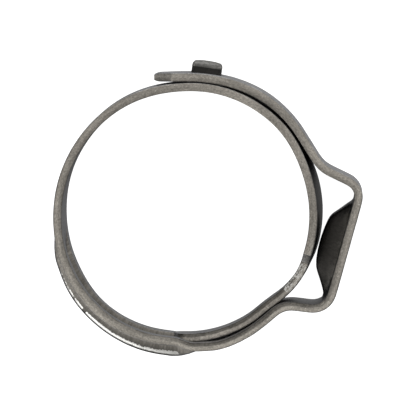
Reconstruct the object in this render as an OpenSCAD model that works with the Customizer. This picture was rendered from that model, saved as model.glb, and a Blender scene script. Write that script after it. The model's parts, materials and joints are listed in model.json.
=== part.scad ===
// Single-ear stepless hose clamp, 17.5 mm nominal, 7 x 0.6 mm stainless strip.
// Frame: +Z along the bore, origin at the ring centre at mid width, ear towards +X, hook at the top (+Y).
// Angles are in degrees, counter-clockwise from +X. Lengths are in mm.

/* [Strip] */
// bore radius of the open ring
bore_r = 8.75; // [6:0.05:20]
// thickness of the strip
strip_t = 0.6; // [0.4:0.05:1]
// width of the strip
strip_w = 7; // [5:0.1:10]
// running clearance between the two layers
layer_gap = 0.12; // [0.05:0.01:0.4]

/* [Outer end and hook] */
// where the outer end leaves the ring and runs straight
tab_start = 90; // [80:0.5:100]
// straight length of the outer end
tab_len = 2.23; // [1:0.01:5]
// length of the end's corner bevels
tab_bevel_len = 1.28; // [0.4:0.01:2]
// depth of the end's corner bevels
tab_bevel_w = 1.3; // [0.3:0.05:2.5]
// angle of the hook button
button_a = 82; // [70:0.5:95]
// half length of the button along the strip, at its foot
button_half_len = 1.09; // [0.6:0.01:2]
// half width of the button across the strip, at its foot
button_half_w = 1.4; // [0.6:0.05:2]
// radius reached by the button's crown
button_top_r = 10.86; // [10:0.01:12]
// crown radius of the button
button_dome_r = 2.8; // [1.5:0.1:6]
// narrowing of each flank up the button
button_draft = 0.16; // [0:0.01:0.4]
// clearance between the button and its window
window_gap = 0.15; // [0.05:0.01:0.4]

/* [Overlap] */
// start of the rise away from the inner layer
rise_start = 38; // [25:0.5:55]
// radius of the flatter curve of the rise
rise_r = 20; // [12:0.5:60]
// turn made by the rise
rise_turn = 5.5; // [1:0.1:15]
// straight run up to the upper knee
rise_run = 1.44; // [0.9:0.01:4]
// end of the ring curve below the lower knee
lower_curve_end = -48.5; // [-60:0.5:-40]
// straight run up to the lower knee
lower_run = 0.9; // [0.6:0.01:3]

/* [Ear] */
// sharp upper crown corner, x
corner_up_x = 12.82; // [11:0.01:15]
// sharp upper crown corner, y
corner_up_y = 1.93; // [0:0.01:4]
// sharp lower crown corner, x
corner_low_x = 10.35; // [9:0.01:14]
// sharp lower crown corner, y
corner_low_y = -7; // [-9:0.01:-4]
// outside radius of the crown corners
corner_r = 1.2; // [0.7:0.05:2]
// angle left open on each side of the lower crown corner's fold line
pivot_gap_a = 6; // [0:0.5:12]
// outside radius of the knees
knee_r = 0.6; // [0.2:0.05:1.2]
// depth of the pressed dimple below the crown
dimple_depth = 1.48; // [0.5:0.01:2]
// half width of the dimple
dimple_half_w = 2.2; // [1:0.05:3]
// wall of the dimple
dimple_wall = 0.5; // [0.3:0.05:0.6]

/* [Tongue and channel] */
// half width of the tongue
tongue_half_w = 1.75; // [1:0.05:2.5]
// start of the shoulder bevel
shoulder_a = -19.2; // [-30:0.1:-5]
// length of the shoulder bevel along the strip
shoulder_len = 0.7; // [0.2:0.05:2]
// end of the tongue
tongue_end = -96; // [-120:0.5:-86]
// angle taken up by the tongue's cropped tip
tip_span = 5; // [4:0.5:12]
// clearance between the tongue and the channel roof beyond the layer clearance
roof_lift = 0.2; // [0:0.01:0.6]
// side clearance of the tongue in the channel
channel_side_gap = 0.12; // [0.05:0.01:0.4]
// wall of the channel's sides
channel_wall = 0.45; // [0.3:0.05:0.6]
// start of the step down to the rails
step_a = 274; // [270:0.5:285]
// mid-line radius of the step's bends
step_r = 0.9; // [0.5:0.05:2]
// where the channel starts to run out
runout_a = 203; // [195:0.5:215]
// mid-line radius of the run-out's bends
runout_r = 2.2; // [1:0.05:6]

/* [Flex lines] */
// right flex line, both layers
flex_right_a = 60; // [50:0.5:70]
// inner layer flex line under the ear
flex_inner_a = 10; // [0:0.5:15]
// tongue flex line
flex_tongue_a = -38; // [-45:0.5:-30]
// upper left flex line
flex_left_up_a = 115; // [105:0.5:130]
// middle left flex line
flex_left_mid_a = 162; // [150:0.5:175]
// lower left flex line
flex_left_low_a = 208; // [204:0.5:215]

/* [Output] */
// which sub-part to draw, or all

/* [Hidden] */
$fn = 96;
inner_face_r = bore_r;
inner_back_r = bore_r + strip_t;
outer_face_r = inner_back_r + layer_gap;
outer_back_r = outer_face_r + strip_t;
roof_face_r = outer_face_r + roof_lift;
roof_back_r = roof_face_r + strip_t;
channel_half_in = tongue_half_w + channel_side_gap;
channel_half_out = channel_half_in + channel_wall;
steel = [0.62, 0.6, 0.57];
dark_steel = [0.5, 0.49, 0.47];

// Unit vector, heading between points, length
function u(a) = [cos(a), sin(a)];
function heading(p, q) = atan2(q[1] - p[1], q[0] - p[0]);
// The same angle, within half a turn of another
function near(a, ref) = a + 360 * round((ref - a) / 360);

// Outer face of the rise, from the ring to the upper knee
rise_p0 = outer_back_r * u(rise_start);
rise_c = rise_p0 - rise_r * u(rise_start);
rise_p1 = rise_c + rise_r * u(rise_start - rise_turn);
rise_head = rise_start - rise_turn - 90;
knee_up = rise_p1 + rise_run * u(rise_head);
corner_up = [corner_up_x, corner_up_y];
corner_low = [corner_low_x, corner_low_y];
low_p0 = outer_back_r * u(lower_curve_end);
knee_low = low_p0 + lower_run * u(lower_curve_end + 90);

// Headings along the ear, turning clockwise round the ring
head_leg_up = heading(knee_up, corner_up);
head_crown = heading(corner_up, corner_low);
head_leg_low = heading(corner_low, knee_low) - 360;
head_low = lower_curve_end - 90;

// Bends: centre, run used by the bend on each side of its sharp point
function left_centre(v, h1, h2, r) = v + r / cos((h2 - h1) / 2) * u((h1 + h2) / 2 + 90);
function right_centre(v, h1, h2, r) = v + r / cos((h2 - h1) / 2) * u((h1 + h2) / 2 - 90);
function bend_run(h1, h2, r) = r * tan(abs(h2 - h1) / 2);
run_corner_up = bend_run(head_leg_up, head_crown, corner_r);
run_corner_low = bend_run(head_crown, head_leg_low, corner_r);
crown_start = corner_up + run_corner_up * u(head_crown);
crown_len = norm(corner_low - corner_up) - run_corner_up - run_corner_low;

// Angles spanned by the step and the run-out, from the two tangent bends of each
function s_span(r_out, r_in, r) =
    acos((pow(r_out - r, 2) + pow(r_in + r, 2) - 4 * r * r) / (2 * (r_out - r) * (r_in + r)));
step_mid_out = outer_face_r + strip_t / 2;
step_mid_in = inner_face_r + strip_t / 2;
step_span = s_span(step_mid_out, step_mid_in, step_r);
step_end = step_a - step_span;
roof_mid = roof_face_r + strip_t / 2;
ramp_span = s_span(roof_mid, step_mid_out, step_r);
runout_span = s_span(roof_mid, step_mid_in, runout_r);
runout_end = runout_a - runout_span;

// Curved strip round the bore, between two angles
module arc_strip(r, a0, a1, w = strip_w, t = strip_t) {
    rotate([0, 0, a0]) rotate_extrude(angle = a1 - a0) translate([r, -w / 2]) square([t, w]);
}

// Curved strip round any centre
module bend_strip(c, r, a0, a1, w = strip_w, t = strip_t) {
    translate([c[0], c[1], 0]) arc_strip(r, a0, a1, w, t);
}

// Stations [x, y, heading] along the outer face of a ring curve, a knee and a crown corner
function ring_stations(c, r, a, b, n) =
    [for (i = [0 : n]) let (th = a + (b - a) * i / n, p = c + r * u(th)) [p[0], p[1], th - 90]];
function knee_stations(v, h1, h2, a, b, n = 8) =
    let (c = left_centre(v, h1, h2, knee_r))
    [for (i = [0 : n]) let (h = a + (b - a) * i / n, p = c + knee_r * u(h - 90)) [p[0], p[1], h]];
function corner_stations(v, h1, h2, a, b, n = 10) =
    let (c = right_centre(v, h1, h2, corner_r))
    [for (i = [0 : n]) let (h = a + (b - a) * i / n, p = c + corner_r * u(h + 90)) [p[0], p[1], h]];

// Strip of full width whose outer face follows the stations
module strip_along(st) {
    n = len(st);
    outer = [for (s = st) [s[0], s[1]]];
    inner = [for (i = [n - 1 : -1 : 0]) [st[i][0], st[i][1]] + strip_t * u(st[i][2] - 90)];
    translate([0, 0, -strip_w / 2]) linear_extrude(height = strip_w) polygon(concat(outer, inner));
}

// Triangular bevel cut across the strip's edge, standing radially at angle a, running towards -angle
module bevel_cut(a, len, depth) {
    for (side = [-1, 1])
        rotate([0, 0, a]) rotate([90, 0, 90])
            linear_extrude(height = 20)
                polygon([[0, side * strip_w], [0, side * strip_w / 2],
                         [-len, side * (strip_w / 2 - depth)], [-len, side * strip_w]]);
}

// Two-bend ramp from radius r_hi at angle a down to r_lo, as a curved strip
module ramp(a, r_hi, r_lo, r, w, t = strip_t) {
    span = s_span(r_hi, r_lo, r);
    c1 = (r_hi - r) * u(a);
    c2 = (r_lo + r) * u(a - span);
    line = near(heading(c1, c2), a);
    bend_strip(c1, r - t / 2, line, a, w, t);
    bend_strip(c2, r - t / 2, line - 180, a - span - 180, w, t);
}

// ---------- hook ----------
module outer_end_tab() {
    p = outer_back_r * u(tab_start);
    tip_w = strip_w / 2 - tab_bevel_w;
    color(steel)
        translate([p[0], p[1], 0]) rotate([0, 0, tab_start + 90])
            intersection() {
                translate([0, 0, -strip_w / 2]) cube([tab_len, strip_t, strip_w]);
                rotate([-90, 0, 0]) translate([0, 0, -1]) linear_extrude(height = 3)
                    polygon([[0, -strip_w / 2], [tab_len - tab_bevel_len, -strip_w / 2], [tab_len, -tip_w],
                             [tab_len, tip_w], [tab_len - tab_bevel_len, strip_w / 2], [0, strip_w / 2]]);
            }
}

module window_strip() {
    half_len = button_half_len + window_gap;
    half_w = button_half_w + window_gap;
    color(steel)
        difference() {
            arc_strip(outer_face_r, flex_right_a, tab_start);
            rotate([0, 0, button_a]) translate([bore_r, -half_len, -half_w]) cube([4, 2 * half_len, 2 * half_w]);
        }
}

module latch_button() {
    top = button_half_len - button_draft;
    top_w = button_half_w - button_draft;
    foot = bore_r + strip_t / 2;
    color(dark_steel)
        rotate([0, 0, button_a - 90])
            difference() {
                intersection() {
                    translate([0, 0, -strip_w / 2]) linear_extrude(height = strip_w)
                        polygon([[-button_half_len, foot], [button_half_len, foot],
                                 [button_half_len, inner_back_r], [top, button_top_r],
                                 [-top, button_top_r], [-button_half_len, inner_back_r]]);
                    translate([0, button_top_r - button_dome_r, -strip_w / 2])
                        cylinder(r = button_dome_r, h = strip_w);
                    rotate([0, 90, 0]) translate([0, 0, -3]) linear_extrude(height = 6)
                        polygon([[-button_half_w, foot], [button_half_w, foot],
                                 [button_half_w, inner_back_r], [top_w, button_top_r],
                                 [-top_w, button_top_r], [-button_half_w, inner_back_r]]);
                }
                translate([0, 0, -strip_w]) cylinder(r = inner_back_r, h = 2 * strip_w);
                translate([-0.5, bore_r, -0.8]) cube([1, button_top_r - bore_r - 0.5, 1.6]);
            }
}

module button_band() {
    color(steel)
        difference() {
            arc_strip(inner_face_r, flex_right_a, flex_left_up_a);
            rotate([0, 0, button_a - 90]) translate([-0.5, bore_r - 1, -0.8]) cube([1, 3, 1.6]);
        }
}

// ---------- overlap and ear ----------
module overlap_band() {
    color(steel) arc_strip(outer_face_r, rise_start, flex_right_a);
}

module overlap_rise() {
    fold = (rise_head + head_leg_up) / 2;
    color(steel)
        strip_along(concat(
            ring_stations(rise_c, rise_r, rise_start, rise_start - rise_turn, 6),
            knee_stations(knee_up, rise_head, head_leg_up, rise_head, fold)));
}

module upper_leg() {
    knee_fold = (rise_head + head_leg_up) / 2;
    corner_fold = (head_leg_up + head_crown) / 2;
    color(steel)
        strip_along(concat(
            knee_stations(knee_up, rise_head, head_leg_up, knee_fold, head_leg_up),
            corner_stations(corner_up, head_leg_up, head_crown, head_leg_up, corner_fold)));
}

module ear_crown() {
    up_fold = (head_leg_up + head_crown) / 2;
    low_fold = (head_crown + head_leg_low) / 2 + pivot_gap_a;
    color(steel)
        difference() {
            strip_along(concat(
                corner_stations(corner_up, head_leg_up, head_crown, up_fold, head_crown),
                corner_stations(corner_low, head_crown, head_leg_low, head_crown, low_fold)));
            translate([crown_start[0], crown_start[1], 0]) rotate([0, 0, head_crown])
                translate([0.12, -2, -dimple_half_w]) cube([crown_len - 0.24, 4, 2 * dimple_half_w]);
        }
}

// Side view of the dimple: steep at the upper end, long ramp at the lower end
module dimple_side(wall) {
    s0 = 0.12 + wall;
    s1 = crown_len - 0.12 - wall;
    d = strip_t + dimple_depth - wall;
    polygon([[s0, wall > 0 ? 1 : 0], [s0, -strip_t * 0.75], [1.45 + wall * 0.4, -d + 0.2],
             [2.6, -d], [5 - wall * 0.2, -d + 0.03], [s1, -strip_t - 0.2 + wall], [s1, wall > 0 ? 1 : 0]]);
}

module crown_dimple() {
    inner_w = dimple_half_w - dimple_wall;
    color(dark_steel)
        translate([crown_start[0], crown_start[1], 0]) rotate([0, 0, head_crown])
            difference() {
                translate([0, 0, -dimple_half_w]) linear_extrude(height = 2 * dimple_half_w) dimple_side(0);
                translate([0, 0, -inner_w]) linear_extrude(height = 2 * inner_w) dimple_side(dimple_wall);
            }
}

module lower_leg() {
    corner_fold = (head_crown + head_leg_low) / 2 - pivot_gap_a;
    knee_fold = (head_leg_low + head_low) / 2;
    color(steel)
        strip_along(concat(
            corner_stations(corner_low, head_crown, head_leg_low, corner_fold, head_leg_low),
            knee_stations(knee_low, head_leg_low, head_low, head_leg_low, knee_fold)));
}

// ---------- lower overlap, step and channel ----------
module lower_overlap() {
    fold = (head_leg_low + head_low) / 2;
    color(steel)
        strip_along(concat(
            knee_stations(knee_low, head_leg_low, head_low, fold, head_low),
            ring_stations([0, 0], outer_back_r, lower_curve_end, step_a - 360, 38)));
}

// Cross-section of the channel: two rails, two sides and a roof
module channel_section() {
    for (side = [-1, 1]) {
        y0 = side > 0 ? channel_half_in : -strip_w / 2;
        translate([inner_face_r, y0]) square([strip_t, strip_w / 2 - channel_half_in]);
        y1 = side > 0 ? channel_half_in : -channel_half_out;
        translate([inner_face_r, y1]) square([roof_back_r - inner_face_r, channel_wall]);
    }
    translate([roof_face_r, -channel_half_out]) square([strip_t, 2 * channel_half_out]);
}

module step_bend() {
    rail_w = strip_w / 2 - channel_half_out + 0.1;
    wall_mid = channel_half_in + channel_wall / 2;
    color(steel) {
        for (side = [-1, 1]) {
            translate([0, 0, side * (strip_w / 2 - rail_w / 2)])
                ramp(step_a, step_mid_out, step_mid_in, step_r, rail_w);
            translate([0, 0, side * wall_mid])
                arc_strip(inner_face_r, step_end, step_a - step_span / 2, channel_wall, roof_back_r - inner_face_r);
        }
        arc_strip(outer_face_r, step_a - step_span / 2 - 1, step_a, 2 * channel_half_out);
        arc_strip(roof_face_r, step_end, step_a - 2, 2 * channel_half_out);
    }
}

module tongue_channel() {
    color(steel)
        rotate([0, 0, flex_left_low_a]) rotate_extrude(angle = step_end - flex_left_low_a) channel_section();
}

module channel_runout() {
    color(steel)
        difference() {
            union() {
                arc_strip(inner_face_r, runout_end, flex_left_low_a);
                difference() {
                    arc_strip(inner_face_r, runout_end, flex_left_low_a, 2 * channel_half_out,
                              roof_back_r - inner_face_r);
                    above_ramp(strip_t / 2);
                }
            }
            difference() {
                arc_strip(inner_face_r - 1, runout_end, flex_left_low_a + 1, 2 * channel_half_in,
                          roof_face_r - inner_face_r + 1);
                above_ramp(-strip_t / 2);
            }
        }
}

// Everything outside the falling roof's middle line, moved out by k
module above_ramp(k) {
    c1 = (roof_mid - runout_r) * u(runout_a);
    c2 = (step_mid_in + runout_r) * u(runout_end);
    line = near(heading(c1, c2), runout_a);
    bend_strip(c1, runout_r + k, line - 1, runout_a, 2 * strip_w, 2);
    translate([c2[0], c2[1], -strip_w]) cylinder(r = runout_r - k, h = 2 * strip_w);
}

// ---------- left side ----------
module left_band_lower() {
    color(steel) arc_strip(inner_face_r, flex_left_mid_a, runout_end);
}

module left_band_upper() {
    color(steel) arc_strip(inner_face_r, flex_left_up_a, flex_left_mid_a);
}

// ---------- inner layer and tongue ----------
shoulder_end = shoulder_a - shoulder_len / (bore_r + strip_t / 2) * 180 / PI;

module inner_band() {
    color(steel) arc_strip(inner_face_r, flex_inner_a, flex_right_a);
}

module shoulder_band() {
    color(steel)
        difference() {
            arc_strip(inner_face_r, shoulder_end, flex_inner_a);
            bevel_cut(shoulder_a, shoulder_len + 0.6, (strip_w / 2 - tongue_half_w) * (shoulder_len + 0.6) / shoulder_len);
        }
}

module tongue_root() {
    color(steel) arc_strip(inner_face_r, flex_tongue_a, shoulder_end, 2 * tongue_half_w);
}

module tongue_blade() {
    color(steel) arc_strip(inner_face_r, tongue_end + tip_span, flex_tongue_a, 2 * tongue_half_w);
}

module tongue_tip() {
    color(steel)
        difference() {
            arc_strip(inner_face_r, tongue_end, tongue_end + tip_span, 2 * tongue_half_w);
            for (side = [-1, 1])
                rotate([0, 0, tongue_end]) rotate([90, 0, 90]) linear_extrude(height = 20)
                    polygon([[-1, side * strip_w], [-1, side * (tongue_half_w - 1)], [0, side * (tongue_half_w - 0.8)],
                             [0.8, side * tongue_half_w], [0.8, side * strip_w]]);
        }
}

outer_end_tab();
window_strip();
latch_button();
button_band();
overlap_band();
overlap_rise();
upper_leg();
ear_crown();
crown_dimple();
lower_leg();
lower_overlap();
step_bend();
tongue_channel();
channel_runout();
left_band_lower();
left_band_upper();
inner_band();
shoulder_band();
tongue_root();
tongue_blade();
tongue_tip();
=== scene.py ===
import json
from math import acos, atan2, ceil, cos, degrees, pi, radians, sin, tan

import bmesh
import bpy
from mathutils import Matrix, Vector, noise


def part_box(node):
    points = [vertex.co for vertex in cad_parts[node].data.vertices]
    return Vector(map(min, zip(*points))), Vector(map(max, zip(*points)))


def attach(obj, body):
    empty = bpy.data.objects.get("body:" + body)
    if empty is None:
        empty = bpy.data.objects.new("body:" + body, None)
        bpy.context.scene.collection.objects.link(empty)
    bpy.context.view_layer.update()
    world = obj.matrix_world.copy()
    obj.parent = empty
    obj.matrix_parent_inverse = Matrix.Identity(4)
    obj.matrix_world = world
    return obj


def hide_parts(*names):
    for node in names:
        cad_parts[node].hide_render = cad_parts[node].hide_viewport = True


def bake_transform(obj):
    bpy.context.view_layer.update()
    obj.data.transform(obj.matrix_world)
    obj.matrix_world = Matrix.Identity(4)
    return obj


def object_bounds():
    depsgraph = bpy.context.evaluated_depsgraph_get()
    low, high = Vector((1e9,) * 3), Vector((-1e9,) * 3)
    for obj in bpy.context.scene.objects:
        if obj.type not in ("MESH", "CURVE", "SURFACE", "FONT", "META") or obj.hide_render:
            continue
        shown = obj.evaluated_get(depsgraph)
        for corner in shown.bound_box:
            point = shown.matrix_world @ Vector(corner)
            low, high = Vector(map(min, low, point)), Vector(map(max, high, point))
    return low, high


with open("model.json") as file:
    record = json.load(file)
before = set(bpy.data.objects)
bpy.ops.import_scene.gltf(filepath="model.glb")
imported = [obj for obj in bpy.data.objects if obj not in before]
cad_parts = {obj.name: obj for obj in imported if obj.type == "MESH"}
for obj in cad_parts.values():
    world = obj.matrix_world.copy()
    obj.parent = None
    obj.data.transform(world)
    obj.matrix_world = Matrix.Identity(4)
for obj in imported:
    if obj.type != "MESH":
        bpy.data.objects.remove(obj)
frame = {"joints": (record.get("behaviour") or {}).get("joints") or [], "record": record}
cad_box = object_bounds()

# Looks of the single-ear stepless hose clamp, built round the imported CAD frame.
# The whole clamp is one strip. It is followed clockwise from the outer end, over the ear, through the
# step and the channel, once more round the ring and out to the tongue's tip. The clamp's sizes are in mm,
# and its meshes are scaled to metres as they are made. The studio round it is in metres.
MM = 0.001

# ---------- sizes from the frame ----------
record = frame["record"]
hinge = {j["name"]: Vector(j["pos_m"]) / MM for j in frame["joints"]}
mount = {m["name"]: m for m in record["mounts"]}


def top(node):
    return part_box(node)[1] / MM


def bottom(node):
    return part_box(node)[0] / MM


bore_r = mount["hose_bore"]["dims"]["r_mm"]
half_w = top("button_band").z
flex_up_a = atan2(hinge["upper_left_flex"].y, hinge["upper_left_flex"].x)
strip_t = top("left_band_upper").y / sin(flex_up_a) - bore_r
# Radius of the outer layer's inner face
outer_layer_r = hinge["overlap_flex"].length
tab_len = -bottom("outer_end_tab").x
# How much the outer end's bevelled corners take off each side of its tip
TAB_CROP = 1.3
tab_tip_half_w = half_w - TAB_CROP
tongue_half_w = top("tongue_tip").z
# Angle at which the button stands on the ring
BUTTON_A = 82.0

# ---------- the strip's line ----------
# Distance between the strip's stations
PITCH = 0.11
# The ear's outer corners before rounding, placed from the frame's folds, and their outside radii
KNEE_UP = (hinge["ear_pinch"].x - 0.02, hinge["ear_pinch"].y)
CORNER_UP = (hinge["crown_fold"].x + 0.90, hinge["crown_fold"].y + 0.44)
CORNER_LOW = (top("lower_leg").x + 0.215, hinge["lower_leg_fold"].y - 0.2832)
KNEE_LOW = (hinge["lower_leg_fold"].x - 0.4218, hinge["lower_leg_fold"].y + 0.1468)
KNEE_UP_R, CORNER_UP_R, CORNER_LOW_R, KNEE_LOW_R = 1.8, 1.5, 1.7, 1.3
# Where the outer layer's arcs end above the ear and start again below it, and the angle between their points
UPPER_ARC_END, LOWER_ARC_START, ARC_STEP = 36, -48, 0.7
# How much further the outer end reaches than in the CAD, and how far it droops
TAB_REACH, TAB_DROOP = 0.07, 0.04

# How far the sprung strip stands off its true circle: (travel angle, offset)
OUTER_LAYER = [(104, -0.12), (90, -0.12), (80, -0.09), (68, 0.02), (55, 0.12), (40, 0.11), (25, 0.03),
               (18, 0.0)]
LOWER_LAYER = [(-40, -0.32), (-52, -0.31), (-63, -0.18), (-76, -0.07), (-84, -0.18), (-92, -0.22)]
INNER_LAYER = [(-88, 0.05), (-95, 0.13), (-110, 0.25), (-130, 0.34), (-145, 0.31), (-160, 0.25),
               (-170, 0.17), (-180, 0.1), (-210, -0.02), (-240, -0.05), (-265, -0.11), (-285, -0.02),
               (-305, 0.04), (-320, 0.06), (-340, -0.05), (-360, -0.01), (-380, 0.05), (-390, 0.08),
               (-400, -0.05), (-410, -0.24), (-420, -0.16), (-440, -0.07), (-460, -0.05)]
# Height of the channel's roof above the rails
ROOF = [(-84, 0.0), (-87, 0.14), (-90, 0.42), (-93, 0.72), (-96, 0.84), (-98, 0.83), (-110, 0.80),
        (-130, 0.65), (-145, 0.57), (-155, 0.43), (-160, 0.38), (-165, 0.24), (-170, 0.06), (-174, 0.0)]
# Travel angles between which the strip steps down from the outer layer to the inner one
STEP_FROM, STEP_TO = -87.3, -95.2
TRAVEL_END = -360 - degrees(acos(bottom("tongue_tip").x / (bore_r + strip_t)))
# How far the strip's back edge leans out beyond its front edge
LEAN = [(-90, 0.0), (-100, -0.08), (-115, -0.08), (-135, -0.11), (-155, -0.22), (-180, -0.12), (-205, 0.0),
        (-296, 0.0), (-318, 0.11), (-327, 0.14), (-332, 0.19), (-337, 0.29), (-345, 0.37), (-360, 0.38),
        (-376, 0.33), (-390, 0.18), (-405, 0.0)]
# How many times the finished line is smoothed, so that no join between its stretches shows
LINE_SMOOTHING = 10


def u(deg):
    return Vector((cos(radians(deg)), sin(radians(deg))))


def smooth(x):
    x = min(max(x, 0.0), 1.0)
    return x * x * (3 - 2 * x)


def curve(knots, x):
    """Height at x of a smooth curve through the knots, flat past its ends."""
    pts = sorted(knots)
    if x <= pts[0][0]:
        return pts[0][1]
    if x >= pts[-1][0]:
        return pts[-1][1]
    i = max(k for k in range(len(pts) - 1) if pts[k][0] <= x)
    (x1, y1), (x2, y2) = pts[i], pts[i + 1]
    x0, y0 = pts[max(i - 1, 0)]
    x3, y3 = pts[min(i + 2, len(pts) - 1)]
    m1 = (y2 - y0) / (x2 - x0)
    m2 = (y3 - y1) / (x3 - x1)
    h = x2 - x1
    t = (x - x1) / h
    return (y1 * (1 + 2 * t) * (1 - t) ** 2 + m1 * h * t * (1 - t) ** 2
            + y2 * t * t * (3 - 2 * t) - m2 * h * t * t * (1 - t))


def fillet(before, corner, after, r):
    """Points of the arc that rounds a corner, r being the radius on the outer face."""
    a, c, b = Vector(before), Vector(corner), Vector(after)
    d1, d2 = (c - a).normalized(), (b - c).normalized()
    turn = d1.angle(d2)
    run = r * tan(turn / 2)
    p, q = c - d1 * run, c + d2 * run
    side = 1 if d1.cross(d2) > 0 else -1
    n = Vector((-d1.y, d1.x)) * side
    centre = p + n * r
    steps = max(3, ceil(r * turn / PITCH))
    start = p - centre
    out = []
    for i in range(steps + 1):
        k = side * turn * i / steps
        x = start.x * cos(k) - start.y * sin(k)
        y = start.x * sin(k) + start.y * cos(k)
        out.append(centre + Vector((x, y)))
    return out


def straight(p, q):
    """Points between two others, about a pitch apart and without the two."""
    n = max(1, ceil((q - p).length / PITCH))
    return [p.lerp(q, i / n) for i in range(1, n)]


def outer_back(a, layer):
    """Point on the outer layer's outer face."""
    return (outer_layer_r + strip_t + curve(layer, a)) * u(a)


def outer_line():
    """Outer face from the outer end's tip to the start of the step."""
    ring_top = outer_back(90, OUTER_LAYER)
    tip = ring_top + Vector((-tab_len - TAB_REACH, -TAB_DROOP))
    pts = [tip] + straight(tip, ring_top)
    a = 90.0
    while a > UPPER_ARC_END:
        pts.append(outer_back(a, OUTER_LAYER))
        a -= ARC_STEP
    low_count = int((LOWER_ARC_START - STEP_FROM) / ARC_STEP) + 1
    low = [outer_back(LOWER_ARC_START - ARC_STEP * i, LOWER_LAYER) for i in range(low_count)]
    line = [pts[-1], KNEE_UP, CORNER_UP, CORNER_LOW, KNEE_LOW, low[0]]
    radii = [KNEE_UP_R, CORNER_UP_R, CORNER_LOW_R, KNEE_LOW_R]
    arcs = [fillet(*line[i:i + 3], r) for i, r in enumerate(radii)]
    for arc in arcs:
        pts += straight(pts[-1], arc[0]) + arc
    pts += straight(pts[-1], low[0]) + low
    return pts


def even(pts):
    """The same line with points a pitch apart."""
    out, left = [pts[0]], PITCH
    for p, q in zip(pts, pts[1:]):
        d = (q - p).length
        while left <= d:
            p = p.lerp(q, left / d)
            out.append(p)
            d -= left
            left = PITCH
        left -= d
    return out


def relax(pts, times):
    """The same line, smoothed."""
    for _ in range(times):
        pts = [pts[0]] + [(a + 2 * b + c) / 4 for a, b, c in zip(pts, pts[1:], pts[2:])] + [pts[-1]]
    return pts


def normals(pts):
    """Direction from the line to the strip's outer face at each of its points."""
    out = []
    for i in range(len(pts)):
        d = pts[min(i + 1, len(pts) - 1)] - pts[max(i - 1, 0)]
        out.append(Vector((-d.y, d.x)).normalized())
    return out


def inner_mid_r(a):
    """Radius of the strip's middle line past the step."""
    return bore_r + strip_t / 2 + curve(INNER_LAYER, a)


def strip_line():
    """Middle line of the whole strip, which is the channel's rails where the strip has a raised roof."""
    outer = even(outer_line())
    mids = [p - n * strip_t / 2 for p, n in zip(outer, normals(outer))]
    a = STEP_FROM
    r_from = mids[-1].length
    da = degrees(PITCH / bore_r)
    while a > TRAVEL_END:
        a -= da
        k = smooth((STEP_FROM - a) / (STEP_FROM - STEP_TO))
        mids.append((r_from * (1 - k) + inner_mid_r(a) * k if k < 1 else inner_mid_r(a)) * u(a))
    return relax(mids, LINE_SMOOTHING)


mid = strip_line()
travel = []
for p in mid:
    a = degrees(atan2(p.y, p.x))
    while travel and a > travel[-1] + 180:
        a -= 360
    travel.append(a)
roof = [p + p.normalized() * curve(ROOF, a) for p, a in zip(mid, travel)]
rail_n, roof_n = normals(mid), normals(roof)
length = [0.0]
for p, q in zip(mid, mid[1:]):
    length.append(length[-1] + (q - p).length)


def at(angle):
    """The first station past a travel angle."""
    return next(i for i, a in enumerate(travel) if a <= angle)


# Length of the outer end's cropped corners, and of the stretch where its tip thins
TAB_BEVEL, TAB_NOSE = 1.28, 0.45
# Travel angles of the bevel from the full width to the tongue's
SHOULDER_FROM, SHOULDER_TO = -378.9, -383.4
# Length of the tongue's rounded tip, and how much it takes off each side
TIP_ROUND, TIP_CROP = 0.85, 1.7


def half_width(i):
    """Half the strip's width at a station."""
    s = length[i]
    if s < TAB_BEVEL:
        return tab_tip_half_w + (half_w - tab_tip_half_w) * s / TAB_BEVEL
    a = travel[i]
    if a > SHOULDER_FROM:
        return half_w
    k = min(max((SHOULDER_FROM - a) / (SHOULDER_FROM - SHOULDER_TO), 0), 1)
    w = half_w + (tongue_half_w - half_w) * k
    left = length[-1] - s
    if left < TIP_ROUND:
        w -= TIP_CROP * (1 - (1 - (1 - left / TIP_ROUND) ** 2) ** 0.5)
    return w


# ---------- cross-sections ----------
# A section's point is (share of the half width, mm in from the edge, share of the roof's height, depth from
# the middle line). The mm count only where the share is 1 or -1, on the sheared edges.

# Rounding of the outer corner, the burr on the inner corner, and how far in that burr starts
ROLL, BURR, BURR_IN = 0.10, 0.045, 0.05
# The sheared edge between them: (mm in from the edge, share of half the thickness)
SHEAR_TAPER = [(0.004, 0.35), (0.008, 0.0), (0.02, -0.3), (0.035, -0.55)]


def arc_pts(n, a0, a1):
    """Angles that split an arc into n steps."""
    return [radians(a0 + (a1 - a0) * i / n) for i in range(n + 1)]


def edge_profile():
    """From the outer face round the +z edge to the inner face: (distance in from the edge, depth)."""
    t = strip_t / 2
    pts = [(ROLL - ROLL * sin(k), t - ROLL + ROLL * cos(k)) for k in arc_pts(4, 0, 90)]
    pts += [(d, t * share) for d, share in SHEAR_TAPER]
    pts += [(BURR_IN + BURR - BURR * cos(k), -t + BURR - BURR * sin(k)) for k in arc_pts(3, 0, 90)]
    return pts


def plain_section(columns):
    """Closed outline of a plain strip."""
    t = strip_t / 2
    edge = edge_profile()
    flat = [1 - 2 * i / columns for i in range(1, columns)]
    pts = [(1, d, 0, n) for d, n in edge]
    pts += [(f, 0, 0, -t) for f in flat]
    pts += [(-1, d, 0, n) for d, n in reversed(edge)]
    pts += [(-f, 0, 0, t) for f in flat]
    return pts


# The channel's wall: its place on the outer and inner face, its height and its roundings
CHANNEL_OUT, CHANNEL_IN, CHANNEL_H = 2.32, 1.87, 0.92
SHOULDER_R, FOOT_R = 0.5, 0.16
# How much further out than the roof's edge the wall stands, about half way down and at its foot
WALL_MID, WALL_FOOT = 0.03, 0.05
INNER_WALL_MID, INNER_WALL_FOOT = 0.02, 0.04
# Heights of the points on the wall's flat part, as shares of the roof's height
WALL_MID_H, INNER_WALL_MID_H, INNER_WALL_TOP_H = 0.4, 0.5, 0.85
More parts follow.
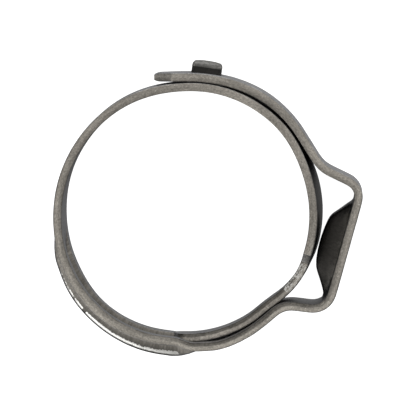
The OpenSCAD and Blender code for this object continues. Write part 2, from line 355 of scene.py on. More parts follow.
# Places of the points on the flat parts, from the roof's middle outwards and back again
ROOF_Z, RAIL_Z = (0.3, 0.7, 1.1, 1.5), (2.8, 3.1)
UNDER_RAIL_Z, UNDER_ROOF_Z = (3.2, 2.9, 2.6, 2.3), (1.8, 1.4, 0.9, 0.4)


def channel_section():
    """Closed outline of the strip with a raised channel between two rails."""
    t = strip_t / 2

    def point(z, roof_share, depth):
        return z / half_w, 0, roof_share, depth

    outer = [point(z, 1, t) for z in ROOF_Z]
    for k in arc_pts(7, 0, 84):
        z = CHANNEL_OUT - SHOULDER_R + SHOULDER_R * sin(k)
        outer.append(point(z, 1 - SHOULDER_R * (1 - cos(k)) / CHANNEL_H, t))
    outer += [point(CHANNEL_OUT + WALL_MID, WALL_MID_H, t)]
    for k in arc_pts(4, 8, 90):
        z = CHANNEL_OUT + WALL_FOOT + FOOT_R - FOOT_R * cos(k)
        outer.append(point(z, FOOT_R * (1 - sin(k)) / CHANNEL_H, t))
    outer += [point(z, 0, t) for z in RAIL_Z]
    inner = [point(z, 0, -t) for z in UNDER_RAIL_Z]
    for k in arc_pts(4, 0, 84):
        z = CHANNEL_IN + INNER_WALL_FOOT + FOOT_R - FOOT_R * sin(k)
        inner.append(point(z, FOOT_R * (1 - cos(k)) / CHANNEL_H, -t))
    inner += [point(CHANNEL_IN + INNER_WALL_MID, INNER_WALL_MID_H, -t)]
    inner += [point(CHANNEL_IN, INNER_WALL_TOP_H, -t)]
    inner += [point(z, 1, -t) for z in UNDER_ROOF_Z]
    half = outer + [(1, d, 0, n) for d, n in edge_profile()] + inner
    mirror = [(-a, d, r, n) for a, d, r, n in reversed(half)]
    return half + [point(0, 1, -t)] + mirror + [point(0, 1, t)]


# ---------- the pressed dimple below the crown ----------
# The station at the upper corner, where the crown's piece starts
crown_start = at(4.6)
# (mm below the crown's start, depth), and how far from the middle its floor and its sides reach
DIMPLE = [(0.0, 0.0), (0.25, 0.1), (0.55, 0.34), (1.07, 0.76), (1.55, 1.16), (1.9, 1.32), (2.44, 1.42),
          (3.3, 1.5), (4.0, 1.5), (4.9, 1.43), (5.5, 1.26), (6.2, 0.82), (6.8, 0.46), (7.4, 0.22),
          (8.0, 0.0)]
DIMPLE_FLAT, DIMPLE_EDGE = 1.45, 2.3


def dimple_depth(i, z):
    c = length[i] - length[crown_start]
    if not 0 < c < DIMPLE[-1][0]:
        return 0.0
    return curve(DIMPLE, c) * smooth((DIMPLE_EDGE - abs(z)) / (DIMPLE_EDGE - DIMPLE_FLAT))


# ---------- points of the strip, with their wear, painted highlight, dirt and painted shade ---
# Unevenness of the sheared edge, its share on the faces, and how quickly it changes: along and across the
# strip, and through it
WAVE, FACE_WAVE = 0.010, 0.4
WAVE_RATE, WAVE_RATE_THROUGH = 1.7, 3
# How much thinner the very tip of the outer end is
NOSE_THINNING = 0.35
# Worn strip along the channel's shoulder, painted near-white as a highlight: (travel angle, strength), and
# between which shares of the wall's height, with the softness of those two borders
SHOULDER_WEAR_HIGHLIGHT = [(-92.4, 0.0), (-93.6, 0.72), (-110, 0.62), (-134.6, 0.7), (-135.4, 0.0), (-136.6, 0.0),
                 (-137.2, 0.7), (-142, 0.55), (-149, 0.5), (-155, 0.4), (-160, 0.0)]
WEAR_HIGHLIGHT_LOW, WEAR_HIGHLIGHT_HIGH = 0.46, 0.88
WEAR_HIGHLIGHT_LOW_SOFT, WEAR_HIGHLIGHT_HIGH_SOFT = 0.1, 0.08
# Worn patch on the tongue's edges next to the shoulder, painted near-white as a highlight
TONGUE_WEAR_HIGHLIGHT_FROM, TONGUE_WEAR_HIGHLIGHT_TO, TONGUE_WEAR_HIGHLIGHT = -383.5, -399, 0.49
# Dirt and painted shade on the side that faces the hose, and painted shade between the layers on the inner
# layer's outside: (travel angle, strength)
DIRT_AND_SHADE_IN = [(10, 0.0), (-5, 0.5), (-30, 0.65), (-60, 0.6), (-86, 0.3), (-110, 0.34), (-150, 0.38),
           (-175, 0.12), (-200, 0.05), (-370, 0.05), (-390, 0.15), (-420, 0.2), (-460, 0.2)]
LAYER_SHADE_OUT = [(-262, 0.0), (-285, 0.6), (-315, 1.0), (-460, 0.95)]
# A point nearer the middle line than this share of the thickness isn't on a face
ON_FACE = 0.499
# Painted shade on the channel's recessed wall: where it starts and ends, over how many degrees, and
# (share of the height, strength)
WALL_START, WALL_END = -89.0, -176.0
WALL_RISE, WALL_FADE = 7, 45
WALL_SHADE = [(0.0, 0.7), (0.1, 0.4), (0.25, 0.35), (0.4, 0.6), (0.6, 0.8), (0.97, 0.75), (1.0, 0.15)]
# Painted shade in the dimple, on the hose's side and outside, and how deep the dimple is where it is full
DIMPLE_SHADE_IN, DIMPLE_SHADE_OUT, DIMPLE_SHADE_DEPTH = 0.92, 0.45, 0.35
# The dimple's low end has less painted shade: from how far below the crown's start, over what length, and by
# what share
DIMPLE_LIGHTER_FROM, DIMPLE_LIGHTER_RUN, DIMPLE_LIGHTER_SHARE = 6.1, 0.9, 0.45
# Painted shade on the outer end's bevelled corners
TAB_BEVEL_SHADE = 0.2
# How plainly the sheared edge shows its rough inner part: (travel angle, strength)
SHEARED = [(104, 0.1), (20, 0.15), (-20, 0.15), (-42, 0.9), (-86, 1.0), (-100, 0.3), (-130, 0.25),
           (-200, 0.1), (-380, 0.1), (-384, 0.5), (-398, 0.9), (-420, 1.0), (-460, 1.0)]


def strip_marks(i, item, sunk):
    """Wear with a painted highlight, and dirt with painted shade, at a section's point, where the dimple is
    sunk so far.
    """
    share, _, lift, depth = item
    a = travel[i]
    on_edge = abs(share) == 1
    wear_and_highlight = 0.0
    grime_and_shade = smooth(sunk / DIMPLE_SHADE_DEPTH) * (DIMPLE_SHADE_IN if depth < 0 else DIMPLE_SHADE_OUT)
    if sunk:
        grime_and_shade *= 1 - DIMPLE_LIGHTER_SHARE * smooth((length[i] - length[crown_start] - DIMPLE_LIGHTER_FROM) / DIMPLE_LIGHTER_RUN)
    if abs(depth) > strip_t * ON_FACE:
        grime_and_shade = max(grime_and_shade, curve(DIRT_AND_SHADE_IN if depth < 0 else LAYER_SHADE_OUT, a))
    if lift > 0 and depth > 0:
        band = smooth((lift - WEAR_HIGHLIGHT_LOW) / WEAR_HIGHLIGHT_LOW_SOFT) * smooth((WEAR_HIGHLIGHT_HIGH - lift) / WEAR_HIGHLIGHT_HIGH_SOFT)
        wear_and_highlight = curve(SHOULDER_WEAR_HIGHLIGHT, a) * band
        raised = smooth((WALL_START - a) / WALL_RISE) * smooth((a - WALL_END) / WALL_FADE)
        grime_and_shade = raised * curve(WALL_SHADE, lift)
    if on_edge and TONGUE_WEAR_HIGHLIGHT_TO < a < TONGUE_WEAR_HIGHLIGHT_FROM:
        wear_and_highlight = TONGUE_WEAR_HIGHLIGHT
    if on_edge and length[i] < TAB_BEVEL:
        grime_and_shade = TAB_BEVEL_SHADE
    return wear_and_highlight, grime_and_shade


def strip_point(i, item, dimple):
    """Where a section's point is at a station, with its wear and painted highlight, and its dirt and painted
    shade.
    """
    share, edge_in, lift, depth = item
    w = half_width(i)
    on_edge = abs(share) == 1
    side = (share > 0) - (share < 0)
    z = side * (w - edge_in) if on_edge else share * w
    m = mid[i].lerp(roof[i], lift)
    n = rail_n[i].lerp(roof_n[i], lift).normalized()
    where = Vector((length[i] * WAVE_RATE, z * WAVE_RATE, depth * WAVE_RATE_THROUGH))
    rough = noise.noise(where) * WAVE
    nose = min(max(1 - length[i] / TAB_NOSE, 0), 1)
    depth *= 1 - NOSE_THINNING * nose * nose
    sunk = dimple_depth(i, z) if dimple else 0.0
    z += side * (rough - WAVE) if on_edge else 0
    lean = curve(LEAN, travel[i]) * (half_w - z) / (2 * half_w)
    p = m + n * (depth - sunk + lean + rough * FACE_WAVE)
    wear_and_highlight, grime_and_shade = strip_marks(i, item, sunk)
    return Vector((p.x, p.y, z)), wear_and_highlight, grime_and_shade


# ---------- meshes ----------
def ring_faces(count, rows):
    """Faces of a closed tube of rows with count points each."""
    faces = []
    for r in range(rows - 1):
        near, far = r * count, (r + 1) * count
        for k in range(count):
            after = (k + 1) % count
            faces.append((near + k, near + after, far + after, far + k))
    faces.append(tuple(range(count - 1, -1, -1)))
    faces.append(tuple(range((rows - 1) * count, rows * count)))
    return faces


def strip_piece(name, first, last, section, dimple):
    """A closed mesh between two stations, with each point's place along, across and through the strip."""
    mesh = bpy.data.meshes.new(name)
    verts, places, wear_and_highlight_values, grime_and_shade_values, sheared = [], [], [], [], []
    for i in range(first, last + 1):
        for item in section:
            p, wear_and_highlight, grime_and_shade = strip_point(i, item, dimple)
            verts.append(p * MM)
            places += [length[i], p.z, item[3] / strip_t + 0.5]
            wear_and_highlight_values.append(wear_and_highlight)
            grime_and_shade_values.append(grime_and_shade)
            sheared.append(curve(SHEARED, travel[i]) if abs(item[0]) == 1 else 0.0)
    mesh.from_pydata(verts, [], ring_faces(len(section), last - first + 1))
    tag(mesh, places, {"wear_and_highlight": wear_and_highlight_values, "grime_and_shade": grime_and_shade_values, "sheared": sheared})
    return finish_mesh(name, mesh, BAND)


def tag(mesh, places, values):
    """Keeps numbers per point for the materials to read."""
    mesh.attributes.new("strip_place", "FLOAT_VECTOR", "POINT").data.foreach_set("vector", places)
    for key, numbers in values.items():
        mesh.attributes.new(key, "FLOAT", "POINT").data.foreach_set("value", numbers)


SHARP_ANGLE = 38
# A face that looks along z by more than this is a sheared edge, and takes the second material
EDGE_FACING = 0.6


def finish_mesh(name, mesh, materials):
    """Makes the mesh into an object, smooth but for its sharp edges."""
    for m in materials:
        mesh.materials.append(m)
    bm = bmesh.new()
    bm.from_mesh(mesh)
    bmesh.ops.recalc_face_normals(bm, faces=bm.faces)
    bm.to_mesh(mesh)
    bm.free()
    for poly in mesh.polygons:
        poly.use_smooth = True
        if len(mesh.materials) > 1 and abs(poly.normal.z) > EDGE_FACING:
            poly.material_index = 1
    mesh.set_sharp_from_angle(angle=radians(SHARP_ANGLE))
    obj = bpy.data.objects.new(name, mesh)
    bpy.context.scene.collection.objects.link(obj)
    return obj


# How far a cutter reaches below and above the strip's inner face
CUT_BELOW, CUT_ABOVE = 0.5, 1.2


def cut_hole(obj, inner_r, half_len, half_z, corner):
    """Cuts a rounded rectangular hole at the button through the layer whose inner face is at a radius."""
    rows = [(r, half_len, half_z) for r in (inner_r - CUT_BELOW, inner_r + CUT_ABOVE)]
    mesh = bpy.data.meshes.new("cutter")
    verts, faces = block_rows(rows, corner)
    mesh.from_pydata(verts, [], faces)
    cutter = finish_mesh("cutter", mesh, obj.data.materials[:1])
    mod = obj.modifiers.new("hole", "BOOLEAN")
    mod.operation, mod.solver, mod.object = "DIFFERENCE", "EXACT", cutter
    graph = bpy.context.evaluated_depsgraph_get()
    cut = bpy.data.meshes.new_from_object(obj.evaluated_get(graph))
    obj.modifiers.clear()
    obj.data = cut
    bpy.data.objects.remove(cutter)


CORNER_STEPS = 5


def rounded_loop(half_len, half_z, c):
    """Points (along, z) of a rounded rectangle with corners of radius c."""
    out = []
    for cx, cz, a in ((1, 1, 0), (-1, 1, 90), (-1, -1, 180), (1, -1, 270)):
        for t in arc_pts(CORNER_STEPS, a, a + 90):
            out.append((cx * (half_len - c) + c * cos(t), cz * (half_z - c) + c * sin(t)))
    return out


def block_rows(rows, corner):
    """A block at the button's angle, built up from rounded rectangles: (radius, half length, half width)."""
    radial, along = u(BUTTON_A), u(BUTTON_A - 90)
    verts = []
    for r, half_len, half_z in rows:
        for x, z in rounded_loop(half_len, half_z, corner):
            verts.append(Vector((*(radial * r + along * x), z)) * MM)
    return verts, ring_faces(len(verts) // len(rows), len(rows))


# ---------- materials ----------
def new_material(name):
    mat = bpy.data.materials.new(name)
    mat.use_nodes = True
    return mat, mat.node_tree.nodes, mat.node_tree.links, mat.node_tree.nodes["Principled BSDF"]


def attribute(nodes, name):
    node = nodes.new("ShaderNodeAttribute")
    node.attribute_name = name
    return node


def ramp(nodes, links, source, stops):
    """A value or a colour that follows the stops: (position, value or colour)."""
    node = nodes.new("ShaderNodeValToRGB")
    while len(node.color_ramp.elements) < len(stops):
        node.color_ramp.elements.new(0.5)
    for element, (where, value) in zip(node.color_ramp.elements, stops):
        element.position = where
        element.color = (*value, 1) if isinstance(value, tuple) else (value, value, value, 1)
    links.new(source, node.inputs["Fac"])
    return node.outputs["Color"]


def place_vector(nodes, links, scale):
    """Position along, across and through the strip, stretched by scale."""
    mapping = nodes.new("ShaderNodeMapping")
    mapping.inputs["Scale"].default_value = scale
    links.new(attribute(nodes, "strip_place").outputs["Vector"], mapping.inputs["Vector"])
    return mapping.outputs["Vector"]


def pattern(nodes, links, scale, detail, rough):
    """Noise that keeps its place on the strip."""
    node = nodes.new("ShaderNodeTexNoise")
    node.inputs["Scale"].default_value = 1.0
    node.inputs["Detail"].default_value = detail
    node.inputs["Roughness"].default_value = rough
    links.new(place_vector(nodes, links, scale), node.inputs["Vector"])
    return node.outputs["Fac"]


def calc(nodes, links, op, a, b):
    node = nodes.new("ShaderNodeMath")
    node.operation = op
    for socket, value in zip(node.inputs, (a, b)):
        if isinstance(value, (int, float)):
            socket.default_value = value
        else:
            links.new(value, socket)
    return node.outputs[0]


def mix(nodes, links, fac, a, b):
    node = nodes.new("ShaderNodeMix")
    node.data_type = "RGBA"
    for socket, value in ((node.inputs["Factor"], fac), (node.inputs["A"], a), (node.inputs["B"], b)):
        if isinstance(value, tuple):
            socket.default_value = (*value, 1)
        elif isinstance(value, float):
            socket.default_value = value
        else:
            links.new(value, socket)
    return node.outputs["Result"]


def bump(nodes, links, height, strength, distance, bsdf):
    node = nodes.new("ShaderNodeBump")
    node.inputs["Strength"].default_value = strength
    node.inputs["Distance"].default_value = distance
    links.new(height, node.inputs["Height"])
    links.new(node.outputs["Normal"], bsdf.inputs["Normal"])


def multiply(nodes, links, a, b):
    node = nodes.new("ShaderNodeMix")
    node.data_type, node.blend_type = "RGBA", "MULTIPLY"
    node.inputs["Factor"].default_value = 1.0
    links.new(a, node.inputs["A"])
    links.new(b, node.inputs["B"])
    return node.outputs["Result"]


# Patterns over the strip: (how finely it runs along, across and through, detail, roughness)
CLOUDS = ((0.5, 0.7, 1.2), 5, 0.7)
SPECKS = ((6, 6, 6), 4, 0.75)
SPARKS = ((2.6, 2.6, 3), 2, 0.8)
STREAKS = ((0.2, 2.2, 0.5), 4, 0.7)
SCUFFS = ((5, 6, 5), 5, 0.8)
GRAIN_DETAIL, GRAIN_ROUGH = 6, 0.7
# Where each pattern turns from one tone, share or roughness to the next: (its value, what it gives)
CLOUD_DARK, CLOUD_LIGHT = 0.34, 0.66
SPECK_TONES = [(0.3, 0.55), (0.5, 1.0), (0.7, 1.45)]
SPARK_SHARE = [(0.62, 0.0), (0.70, 0.7)]
STREAK_DARK, STREAK_LIGHT = 0.36, 0.64
GRIME_AND_SHADE_PATCHES = [(0.2, 0.93), (0.8, 1.0)]
WORN_HIGHLIGHT_SHARE = [(0.46, 0.0), (0.54, 1.0)]
GRAIN_SMOOTH, GRAIN_COARSE = 0.3, 0.7
# How strongly scuffs break up the worn patches and their painted highlight, and how ragged the sheared
# edge's zones are
SCUFF_SPREAD, RAGGED = 1.5, 0.35
# The painted-shade outline shows on every sheared edge, however weak its rough part is
OUTLINE_GAIN = 10.0
BUMP_STRENGTH, BUMP_DISTANCE = 0.25, 0.000012
WHITE = (1.0, 1.0, 1.0)


def shear_marks(nodes, links, tone, cloud, zones):
    """Tones a sheared edge by zones from its inner to its outer face, and outlines its corners with painted
    shade.
    """
    through = nodes.new("ShaderNodeSeparateXYZ")
    links.new(attribute(nodes, "strip_place").outputs["Vector"], through.inputs[0])
    sheared = attribute(nodes, "sheared").outputs["Fac"]
    zone = calc(nodes, links, "ADD", through.outputs["Z"], calc(nodes, links, "MULTIPLY", cloud, RAGGED))
    rough_part = mix(nodes, links, sheared, WHITE, ramp(nodes, links, zone, zones))
    tone = multiply(nodes, links, tone, rough_part)
    on_edge = calc(nodes, links, "MULTIPLY", sheared, OUTLINE_GAIN)
    shade_outline = mix(nodes, links, on_edge, WHITE, ramp(nodes, links, through.outputs["Z"], EDGE_SHADE_OUTLINE))
    return multiply(nodes, links, tone, shade_outline)


def worn_highlight_share(nodes, links):
    """Where the worn patches and their painted highlight show, with broken edges."""
    scuffs = calc(nodes, links, "MULTIPLY_ADD", pattern(nodes, links, *SCUFFS), SCUFF_SPREAD)
    scuffs.node.inputs[2].default_value = -SCUFF_SPREAD / 2
    worn_highlight = calc(nodes, links, "ADD", attribute(nodes, "wear_and_highlight").outputs["Fac"], scuffs)
    return ramp(nodes, links, worn_highlight, WORN_HIGHLIGHT_SHARE)


def steel(name, light, dark, rough_low, rough_high, grain, streaky, zones=None):
    """Tumbled strip steel: cloudy tone, fine specks, grain, dirt and painted shade in hollows, and worn
    edges with a painted highlight.
    """
    mat, nodes, links, bsdf = new_material(name)
    cloud = pattern(nodes, links, *CLOUDS)
    specks = pattern(nodes, links, *SPECKS)
    sparks = pattern(nodes, links, *SPARKS)
    streaks = pattern(nodes, links, *STREAKS)
    tone = ramp(nodes, links, cloud, [(CLOUD_DARK, dark), (CLOUD_LIGHT, light)])
    tone = multiply(nodes, links, tone, ramp(nodes, links, specks, SPECK_TONES))
    tone = mix(nodes, links, ramp(nodes, links, sparks, SPARK_SHARE), tone, SPARK)
    if zones:
        tone = shear_marks(nodes, links, tone, cloud, zones)
    streak_tones = [(STREAK_DARK, 1 - streaky), (STREAK_LIGHT, 1 + streaky)]
    tone = multiply(nodes, links, tone, ramp(nodes, links, streaks, streak_tones))
    grime_and_shade = attribute(nodes, "grime_and_shade").outputs["Fac"]
    grime_and_shade_share = calc(nodes, links, "MULTIPLY", grime_and_shade, ramp(nodes, links, cloud, GRIME_AND_SHADE_PATCHES))
    tone = mix(nodes, links, grime_and_shade_share, tone, GRIME_AND_SHADE)
    worn_highlight = worn_highlight_share(nodes, links)
    tone = mix(nodes, links, worn_highlight, tone, WORN_HIGHLIGHT)
    links.new(tone, bsdf.inputs["Base Color"])
    grains = pattern(nodes, links, grain, GRAIN_DETAIL, GRAIN_ROUGH)
    roughness = ramp(nodes, links, grains, [(GRAIN_SMOOTH, rough_low), (GRAIN_COARSE, rough_high)])
    links.new(mix(nodes, links, worn_highlight, roughness, WORN_ROUGH), bsdf.inputs["Roughness"])
    bsdf.inputs["Metallic"].default_value = 1.0
    bump(nodes, links, calc(nodes, links, "ADD", grains, specks), BUMP_STRENGTH, BUMP_DISTANCE, bsdf)
    return mat


# Dark tone for dirt, and for painted shade in hollows, recesses and between the layers
GRIME_AND_SHADE = (0.055, 0.053, 0.05)
# Near-white tone of the worn patches, which paints their highlight
WORN_HIGHLIGHT, WORN_ROUGH = (0.97, 0.96, 0.92), (0.42, 0.42, 0.42)
SPARK = (0.85, 0.82, 0.75)
FACE_LIGHT, FACE_DARK = (0.50, 0.50, 0.51), (0.36, 0.36, 0.37)
EDGE_LIGHT, EDGE_DARK = (0.57, 0.535, 0.48), (0.41, 0.385, 0.345)
HOOK_LIGHT, HOOK_DARK = (0.36, 0.35, 0.33), (0.16, 0.155, 0.15)
# Tones through the sheared edge, from its inner face (0) to its outer face (1): (place, tone), dark at both
# ends as painted shade
EDGE_SHADE_OUTLINE = [(0.0, 0.4), (0.14, 0.88), (0.4, 0.96), (0.6, 1.12), (0.84, 1.0), (1.0, 0.45)]
FRACTURE = [(0.0, 0.35), (0.54, 0.5), (0.64, 1.12), (1.0, 1.25)]
# Rolling grain along the strip, shearing grain through it, and the hook's even grain
FACE_GRAIN, EDGE_GRAIN, HOOK_GRAIN = (0.5, 14, 2), (6, 2, 5), (6, 6, 6)
face_steel = steel("rolled_face_steel", FACE_LIGHT, FACE_DARK, 0.32, 0.48, FACE_GRAIN, 0.14)
edge_steel = steel("sheared_edge_steel", EDGE_LIGHT, EDGE_DARK, 0.42, 0.58, EDGE_GRAIN, 0.1, FRACTURE)
hook_steel = steel("hook_steel", HOOK_LIGHT, HOOK_DARK, 0.4, 0.6, HOOK_GRAIN, 0.15)
BAND = [face_steel, edge_steel]

# ---------- pieces ----------
PLAIN = plain_section(14)
# The crown's dimple needs more points across the strip
FINE = plain_section(44)
CHANNEL = channel_section()
# Half length, half width and corner radius of the hook's window and of the hole under the button
WINDOW, BUTTON_HOLE = (1.22, 1.55, 0.25), (0.5, 0.8, 0.2)
# Where the strip is cut into pieces, as travel angles, apart from the stations at the crown and the two ends
HOOK_CUT, OVERLAP_CUT, LEG_UP_CUT, LEG_LOW_CUT = 73.5, 30.0, 13.3, -38.6
CHANNEL_CUT, BEND_CUT, RUNOUT_CUT = -60.0, -146.0, -159.0
LEFT_LOW_CUT, LEFT_UP_CUT, TOP_CUT = -180.0, -215.0, -260.0
INNER_CUT, SHOULDER_CUT, ROOT_CUT, TONGUE_CUT = -285.0, -325.0, -370.0, -420.0
# Stations of the outer end's tip, the ear's lower bend and the tongue's tip
TIP, FOLD, END = 0, at(-32.9), len(mid) - 1


def span(name, a_from, a_to, section=PLAIN, dimple=False):
    """A piece of the strip between two stations or travel angles."""
    first = a_from if isinstance(a_from, int) else at(a_from)
    last = a_to if isinstance(a_to, int) else at(a_to)
    return strip_piece(name, first, last, section, dimple)


def slotted(obj, slot, *nodes):
    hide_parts(*nodes)
    return obj


outer_end = slotted(span("outer_end_strip", TIP, HOOK_CUT), "hook_steel", "outer_end_tab", "window_strip")
cut_hole(outer_end, outer_layer_r, *WINDOW)
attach(outer_end, "latched_band")

overlap = slotted(span("overlap_strip", HOOK_CUT, OVERLAP_CUT), "band_steel", "overlap_band")
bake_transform(overlap)

upper_knee = slotted(span("upper_knee_strip", OVERLAP_CUT, LEG_UP_CUT), "ear_steel",
                     "overlap_rise", "upper_leg")
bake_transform(upper_knee)

upper_corner = slotted(span("upper_corner_strip", LEG_UP_CUT, crown_start), "ear_steel", "upper_leg")
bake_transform(upper_corner)

# The ear's lower bend: how deep its open pivot lies below the strip's middle line, and the wedge it opens
PIVOT_DEPTH = 0.216
WEDGE_FROM, WEDGE_TO, WEDGE_STEP = -12, 80, 4
WEDGE_GAP = 0.03


def bend_wedge():
    """The lower bend's stretched outside: inside the strip at rest, and seen when the ear is pinched."""
    out = rail_n[FOLD]
    along = Vector((out.y, -out.x))
    pivot = mid[FOLD] - out * PIVOT_DEPTH
    r = strip_t / 2 + PIVOT_DEPTH - WEDGE_GAP
    fan = [(0.0, 0.0)]
    for a in range(WEDGE_FROM, WEDGE_TO + 1, WEDGE_STEP):
        fan.append((r * sin(radians(a)), r * cos(radians(a))))
    verts, places = [], []
    for z in (half_w - WEDGE_GAP, WEDGE_GAP - half_w):
        for x, y in fan:
            p = pivot + along * x + out * y
            verts.append(Vector((p.x, p.y, z)) * MM)
            places += [length[FOLD] + x, z, (y - PIVOT_DEPTH) / strip_t + 0.5]
    mesh = bpy.data.meshes.new("bend_wedge")
    mesh.from_pydata(verts, [], ring_faces(len(fan), 2))
    none = [0.0] * len(verts)
    tag(mesh, places, {"wear_and_highlight": none, "grime_and_shade": none, "sheared": none})
    return finish_mesh("bend_wedge", mesh, BAND)


def joined(obj, extra):
    """Adds another closed shell to a piece."""
    with bpy.context.temp_override(active_object=obj, selected_editable_objects=[obj, extra]):
        bpy.ops.object.join()
    return obj


crown_strip = joined(span("ear_crown_strip", crown_start, FOLD, FINE, True), bend_wedge())
crown = slotted(crown_strip, "ear_steel", "ear_crown", "crown_dimple")
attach(crown, "ear_top")

low_corner = slotted(span("lower_corner_strip", FOLD, LEG_LOW_CUT), "ear_steel", "lower_leg")
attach(low_corner, "lower_ear_leg")

low_knee = slotted(span("lower_knee_strip", LEG_LOW_CUT, CHANNEL_CUT), "ear_steel", "lower_leg")
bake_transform(low_knee)

channel = slotted(span("channel_strip", CHANNEL_CUT, BEND_CUT, CHANNEL), "channel_steel",
                  "lower_overlap", "step_bend", "tongue_channel")
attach(channel, "channel_arm")

channel_bend = slotted(span("channel_bend_strip", BEND_CUT, RUNOUT_CUT, CHANNEL), "channel_steel",
                       "channel_runout")
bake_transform(channel_bend)

runout = slotted(span("runout_strip", RUNOUT_CUT, LEFT_LOW_CUT, CHANNEL), "channel_steel", "channel_runout")
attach(runout, "left_lower")

left_low = slotted(span("left_lower_strip", LEFT_LOW_CUT, LEFT_UP_CUT), "band_steel", "left_band_lower")
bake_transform(left_low)

left_up = slotted(span("left_upper_strip", LEFT_UP_CUT, TOP_CUT), "band_steel", "left_band_upper")
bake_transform(left_up)

hook_band = slotted(span("hook_strip", TOP_CUT, INNER_CUT), "hook_steel", "button_band")
cut_hole(hook_band, bore_r, *BUTTON_HOLE)
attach(hook_band, "latched_band")

inner_right = slotted(span("inner_right_strip", INNER_CUT, SHOULDER_CUT), "band_steel", "inner_band")
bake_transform(inner_right)

shoulder = slotted(span("shoulder_strip", SHOULDER_CUT, ROOT_CUT), "tongue_steel", "shoulder_band")
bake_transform(shoulder)

tongue_root = slotted(span("tongue_root_strip", ROOT_CUT, TONGUE_CUT), "tongue_steel", "tongue_root")
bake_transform(tongue_root)

tongue = slotted(span("tongue_strip", TONGUE_CUT, END), "tongue_steel", "tongue_blade", "tongue_tip")
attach(tongue, "tongue_arm")

# The button from its foot up, and its hollow from the roof down: (radius, half length, half width)
BUTTON_SIDE = [(9.2, 1.09, 1.38), (9.5, 1.085, 1.39), (10.1, 1.07, 1.40), (10.36, 1.065, 1.40),
               (10.40, 1.075, 1.41), (10.5, 1.07, 1.40), (10.62, 1.04, 1.37), (10.70, 0.99, 1.32),
               (10.76, 0.90, 1.22), (10.81, 0.66, 0.95), (10.85, 0.32, 0.5)]
BUTTON_HOLLOW = [(10.3, 0.46, 0.76), (9.2, 0.5, 0.8)]
BUTTON_CORNER = 0.3
# Below the cap's lip the button is painted with a dark shadow
LIP_R, LIP_SHADOW = 10.38, 0.97


def make_button():
    mesh = bpy.data.meshes.new("latch_button_cap")
    verts, faces = block_rows(BUTTON_HOLLOW + BUTTON_SIDE, BUTTON_CORNER)
    mesh.from_pydata(verts, [], faces)
    radial = u(BUTTON_A)
    heights = [v.co.xy.dot(radial) / MM for v in mesh.vertices]
    places = [x / MM for v in mesh.vertices for x in v.co]
    grime_and_shade_values = [LIP_SHADOW if h < LIP_R else 0.0 for h in heights]
    tag(mesh, places, {"wear_and_highlight": [0.0] * len(heights), "grime_and_shade": grime_and_shade_values})
    return finish_mesh("latch_button_cap", mesh, [hook_steel])


button = slotted(make_button(), "hook_steel", "latch_button")
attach(button, "latched_band")


# ---------- floor, light, camera ----------
FLOOR_HALF, FLOOR_GLOW, FLOOR_TONE = 0.6, 1.05, (0.8, 0.8, 0.8, 1)
WHITE_LIGHT = (1.0, 1.0, 1.0, 1)
TENT_R, TENT_SUBDIVISIONS = 1.2, 4
# The tent's glow: the side it grows towards, and (metres that way, radiance)
TENT_BRIGHT_SIDE = (0.35, 0.75, -0.05)
TENT_GLOW = [(0.0, 0.1), (0.25, 0.25), (0.7, 0.6)]
# A glowing belt round the tent: the height of its foot, and (metres above it, radiance)
TENT_BELT_FOOT = -0.7
TENT_BELT = [(0.0, 0.0), (0.4, 0.28), (0.8, 0.28), (1.0, 0.0)]
WARM, COOL, NEUTRAL = (1.0, 0.985, 0.96), (0.95, 0.98, 1.0), (1.0, 1.0, 1.0)
# Softboxes: (name, direction from the part, distance, size, radiance, colour)
SOFTBOXES = [
    ("overhead_softbox", (0, 0, 1), 0.9, (1.6, 1.6), 0.37, WARM),
    ("top_softbox", (-0.15, 1.0, 0.30), 0.6, (0.6, 0.25), 1.0, COOL),
    ("shoulder_softbox", (-0.62, -0.72, 0.42), 0.6, (0.5, 0.26), 2.6, NEUTRAL),
    ("left_softbox", (-1.0, 0.15, 0.25), 0.7, (0.5, 0.2), 0.5, COOL),
]
# A long lens almost straight down the bore; its places in mm
LENS, SENSOR_WIDTH = 581, 36
CAMERA_EYE, CAMERA_TARGET = (9.65, 20.8, 479.5), (1.56, 0.37, 3.5)
CLIP_NEAR, CLIP_FAR = 0.01, 10


def make_floor():
    """Overexposed white floor: the camera sees it, and the steel doesn't mirror it."""
    z = cad_box[0][2]
    size = FLOOR_HALF
    mesh = bpy.data.meshes.new("studio_floor")
    corners = [(-size, -size, z), (size, -size, z), (size, size, z), (-size, size, z)]
    mesh.from_pydata(corners, [], [(0, 1, 2, 3)])
    floor = bpy.data.objects.new("studio_floor", mesh)
    bpy.context.scene.collection.objects.link(floor)
    mat, nodes, links, bsdf = new_material("pale_floor")
    bsdf.inputs["Base Color"].default_value = FLOOR_TONE
    bsdf.inputs["Roughness"].default_value = 1.0
    bsdf.inputs["Specular IOR Level"].default_value = 0.0
    bsdf.inputs["Emission Color"].default_value = WHITE_LIGHT
    bsdf.inputs["Emission Strength"].default_value = FLOOR_GLOW
    mesh.materials.append(mat)
    floor.visible_glossy = False
    floor.visible_diffuse = False


def make_world():
    """White to the camera, and unseen by the steel."""
    world = bpy.data.worlds.new("studio")
    bpy.context.scene.world = world
    world.use_nodes = True
    world.cycles_visibility.glossy = False
    world.cycles_visibility.diffuse = False
    background = world.node_tree.nodes["Background"]
    background.inputs["Color"].default_value = WHITE_LIGHT
    background.inputs["Strength"].default_value = 1.0


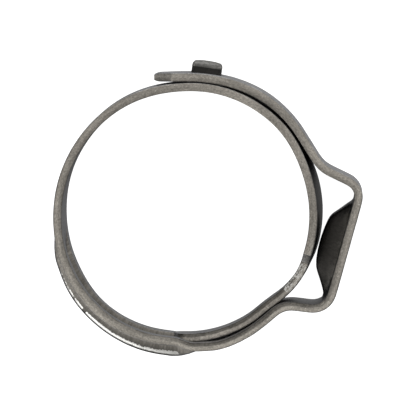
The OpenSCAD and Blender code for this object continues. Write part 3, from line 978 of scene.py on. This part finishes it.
def make_tent():
    """Soft light tent that the steel mirrors: brightest on the button's side, with a belt low round it."""
    mesh = bpy.data.meshes.new("studio_tent")
    bm = bmesh.new()
    bmesh.ops.create_icosphere(bm, subdivisions=TENT_SUBDIVISIONS, radius=TENT_R)
    bm.to_mesh(mesh)
    bm.free()
    tent = bpy.data.objects.new("studio_tent", mesh)
    bpy.context.scene.collection.objects.link(tent)
    mat, nodes, links, bsdf = new_material("tent_cloth")
    nodes.remove(bsdf)
    place = nodes.new("ShaderNodeNewGeometry").outputs["Position"]
    toward = nodes.new("ShaderNodeVectorMath")
    toward.operation = "DOT_PRODUCT"
    links.new(place, toward.inputs[0])
    toward.inputs[1].default_value = TENT_BRIGHT_SIDE
    glow = ramp(nodes, links, toward.outputs["Value"], TENT_GLOW)
    split = nodes.new("ShaderNodeSeparateXYZ")
    links.new(place, split.inputs[0])
    height = calc(nodes, links, "ADD", split.outputs["Z"], -TENT_BELT_FOOT)
    total = nodes.new("ShaderNodeVectorMath")
    total.operation = "ADD"
    links.new(glow, total.inputs[0])
    links.new(ramp(nodes, links, height, TENT_BELT), total.inputs[1])
    emission = nodes.new("ShaderNodeEmission")
    links.new(total.outputs["Vector"], emission.inputs["Color"])
    links.new(emission.outputs[0], nodes["Material Output"].inputs["Surface"])
    mesh.materials.append(mat)
    tent.visible_camera = False
    tent.visible_shadow = False


def softbox(name, direction, distance, size, radiance, color):
    """An area light that faces the part, with its brightness as seen in a mirror."""
    data = bpy.data.lights.new(name, "AREA")
    data.shape = "RECTANGLE"
    data.size, data.size_y = size
    data.energy = radiance * pi * size[0] * size[1]
    data.color = color
    light = bpy.data.objects.new(name, data)
    bpy.context.scene.collection.objects.link(light)
    where = Vector(direction).normalized() * distance
    light.location = where
    light.rotation_euler = (-where).to_track_quat("-Z", "Y").to_euler()


def make_camera():
    data = bpy.data.cameras.new("camera")
    data.lens = LENS
    data.sensor_width = SENSOR_WIDTH
    data.clip_start, data.clip_end = CLIP_NEAR, CLIP_FAR
    camera = bpy.data.objects.new("camera", data)
    bpy.context.scene.collection.objects.link(camera)
    eye = Vector(CAMERA_EYE) * MM
    back = (eye - Vector(CAMERA_TARGET) * MM).normalized()
    right = Vector((0, 1, 0)).cross(back).normalized()
    up = back.cross(right)
    camera.matrix_world = Matrix((right, up, back)).transposed().to_4x4()
    camera.location = eye
    bpy.context.scene.camera = camera


make_floor()
make_world()
make_tent()
for box in SOFTBOXES:
    softbox(*box)
make_camera()
bpy.context.scene.view_settings.view_transform = "Standard"
